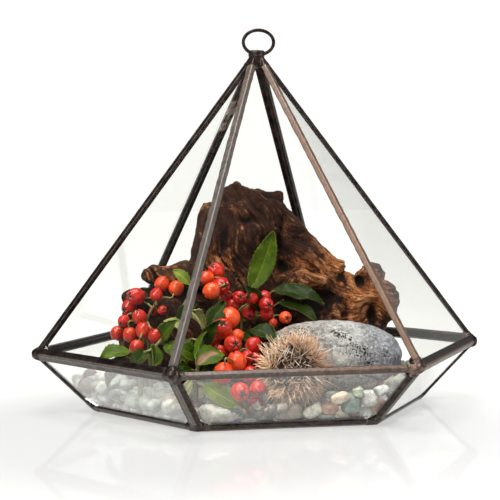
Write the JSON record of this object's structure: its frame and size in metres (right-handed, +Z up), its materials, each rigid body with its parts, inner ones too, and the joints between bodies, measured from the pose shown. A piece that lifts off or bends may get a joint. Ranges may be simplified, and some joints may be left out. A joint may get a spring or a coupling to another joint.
{
  "type": "glass plant terrarium",
  "caption": "Six-sided glass terrarium with a pointed roof, one roof pane left open, a hanging ring, and driftwood, a stone, gravel, berries and leafy twigs inside.",
  "frame": {"origin": "middle of the underside of the base, on the surface that the terrarium stands on", "axes": "+Z up through the hanging ring, +X to the right seen from the open front, which faces -Y"},
  "size_m": [0.2422, 0.2106, 0.1994],
  "materials": {
    "glass": "clear window glass with a faint grey-green tint",
    "frame": "folded metal strip and solder with a dark antique patina, rubbed brighter on its edges",
    "driftwood": "weathered, deeply grained, dark with orange-brown ridges",
    "grey_stone": "rough worn grey cobble with pits and specks",
    "gravel": "mixed polished pebbles in cream, rust, green, lilac and grey",
    "burr": "dry straw-coloured spines",
    "berry": "glossy red to orange berries on yellow-green stalks",
    "leaf": "semi-gloss green leaves, some browned"
  },
  "bodies": {
    "root": {"base_pane": "glass", "lower_pane_1": "glass", "lower_pane_2": "glass", "lower_pane_3": "glass", "lower_pane_4": "glass", "lower_pane_5": "glass", "lower_pane_6": "glass", "upper_pane_1": "glass", "upper_pane_2": "glass", "upper_pane_3": "glass", "upper_pane_4": "glass", "upper_pane_6": "glass", "rib_1": "frame", "rib_2": "frame", "rib_3": "frame", "rib_4": "frame", "rib_5": "frame", "rib_6": "frame", "girdle_bar_1": "frame", "girdle_bar_2": "frame", "girdle_bar_3": "frame", "girdle_bar_4": "frame", "girdle_bar_5": "frame", "girdle_bar_6": "frame", "strut_1": "frame", "strut_2": "frame", "strut_3": "frame", "strut_4": "frame", "strut_5": "frame", "strut_6": "frame", "base_bar_1": "frame", "base_bar_2": "frame", "base_bar_3": "frame", "base_bar_4": "frame", "base_bar_5": "frame", "base_bar_6": "frame", "girdle_joint_1": "frame", "girdle_joint_2": "frame", "girdle_joint_3": "frame", "girdle_joint_4": "frame", "girdle_joint_5": "frame", "girdle_joint_6": "frame", "base_joint_1": "frame", "base_joint_2": "frame", "base_joint_3": "frame", "base_joint_4": "frame", "base_joint_5": "frame", "base_joint_6": "frame", "apex_cap": "frame", "hanging_ring": "frame", "driftwood": "driftwood", "grey_stone": "grey_stone", "chestnut_burr": "burr", "berry_bunch_left": "berry", "berry_bunch_upper": "berry", "berry_bunch_centre": "berry", "leafy_twig_left": "leaf", "leafy_twig_centre": "leaf", "leafy_twig_right": "leaf", "gravel_bed": "gravel"}
  },
  "joints": []
}
